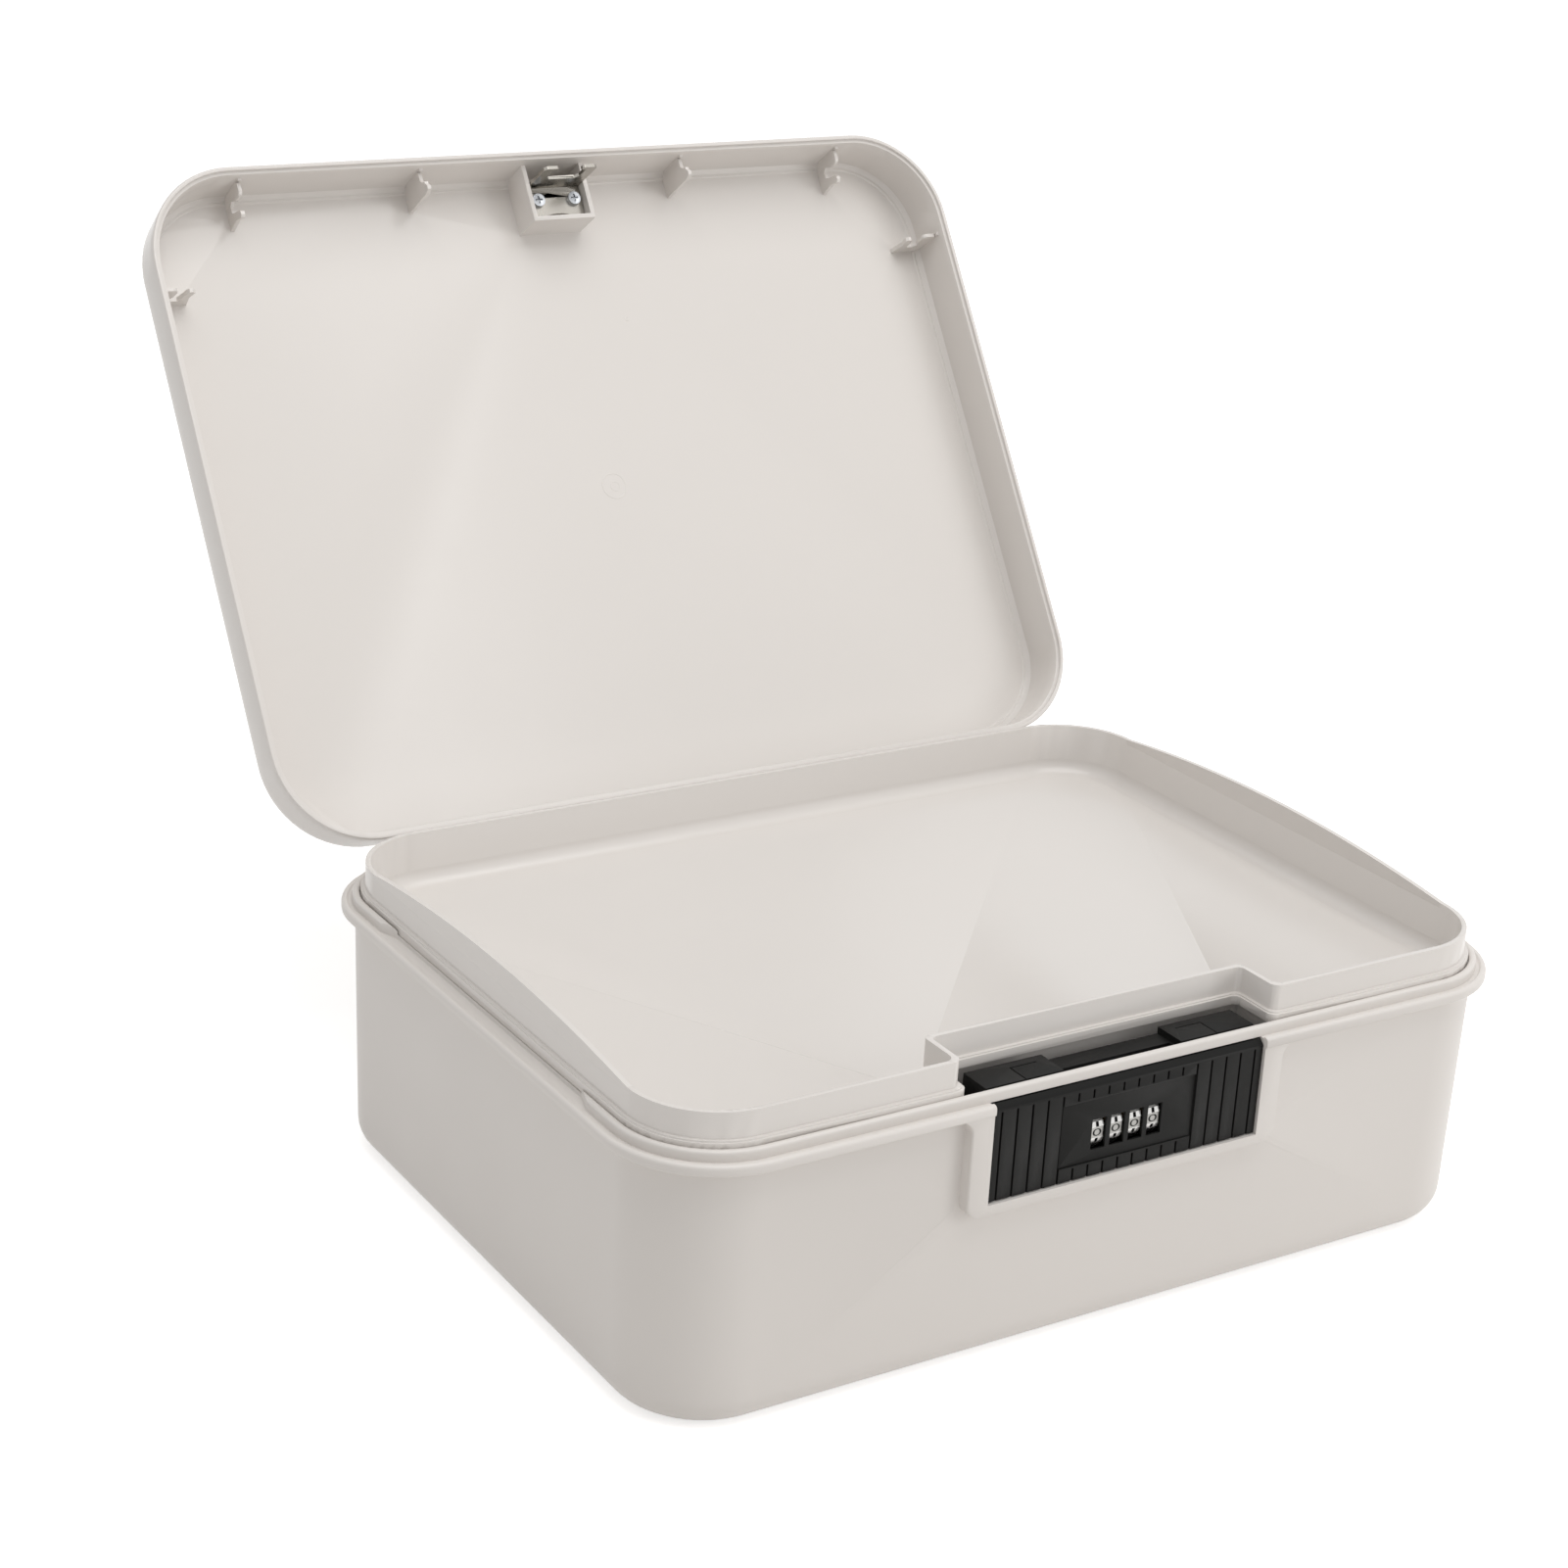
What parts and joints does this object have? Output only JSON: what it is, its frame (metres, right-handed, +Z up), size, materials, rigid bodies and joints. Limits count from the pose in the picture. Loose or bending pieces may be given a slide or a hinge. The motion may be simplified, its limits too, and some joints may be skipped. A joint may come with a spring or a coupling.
{
  "type": "combination lock box",
  "caption": "Portable plastic lock box with a hinged lid, a lift-out tray and a push-to-open front plate with number dials.",
  "frame": {"origin": "Middle of the closed box's outline, on the flat underside that it stands on", "axes": "+X right along the front seen from the front, +Y towards the hinges, +Z up; drawn with the lid open on its stops"},
  "size_m": [0.3136, 0.3787, 0.2848],
  "materials": {
    "white_plastic": "smooth satin moulding",
    "black_plastic": "fine matt moulding",
    "dial_chrome": "bright plated",
    "plated_steel": "nickel plated",
    "brass": "plain stamped"
  },
  "bodies": {
    "base": {"base_tub": "white_plastic", "hinge_pins": "plated_steel", "lock_housing": "black_plastic", "housing_screws": "plated_steel", "lock_cover": "black_plastic", "cover_screws": "plated_steel", "fence_comb": "brass", "return_spring_left": "plated_steel", "return_spring_right": "plated_steel"},
    "lid": {"lid_shell": "white_plastic", "catch_plate": "plated_steel", "catch_screws": "plated_steel"},
    "lift_tray": {"tray": "white_plastic"},
    "lock_button": {"front_plate": "black_plastic", "dial_carrier": "black_plastic", "carrier_screws": "plated_steel", "dial_axle": "plated_steel", "detent_spring": "brass", "latch_bar": "plated_steel"},
    "dial_1": {"number_dial_1": "dial_chrome", "code_disc_1": "brass"},
    "dial_2": {"number_dial_2": "dial_chrome", "code_disc_2": "brass"},
    "dial_3": {"number_dial_3": "dial_chrome", "code_disc_3": "brass"},
    "dial_4": {"number_dial_4": "dial_chrome", "code_disc_4": "brass"}
  },
  "joints": [
    {"name": "lid_hinge", "type": "hinge", "parent": "base", "child": "lid", "pos_m": [0, 0.12015, 0.0867], "axis": [1, 0, 0], "range_deg": [0, 123.6]},
    {"name": "tray_lift", "type": "slide", "parent": "base", "child": "lift_tray", "axis": [0, 0, -1], "range_m": [-0.06, 0]},
    {"name": "lock_press", "type": "slide", "parent": "base", "child": "lock_button", "axis": [0, 1, 0], "range_m": [0, 0.0025], "stiffness_N_per_m": 600, "springref_m": -0.003, "deforming": ["return_spring_left", "return_spring_right"]},
    {"name": "dial_1_turn", "type": "hinge", "parent": "lock_button", "child": "dial_1", "pos_m": [-0.01005, -0.10397, 0.06705], "axis": [1, 0, 0], "continuous": true},
    {"name": "dial_2_turn", "type": "hinge", "parent": "lock_button", "child": "dial_2", "pos_m": [-0.00335, -0.10397, 0.06705], "axis": [1, 0, 0], "continuous": true},
    {"name": "dial_3_turn", "type": "hinge", "parent": "lock_button", "child": "dial_3", "pos_m": [0.00335, -0.10397, 0.06705], "axis": [1, 0, 0], "continuous": true},
    {"name": "dial_4_turn", "type": "hinge", "parent": "lock_button", "child": "dial_4", "pos_m": [0.01005, -0.10397, 0.06705], "axis": [1, 0, 0], "continuous": true}
  ]
}
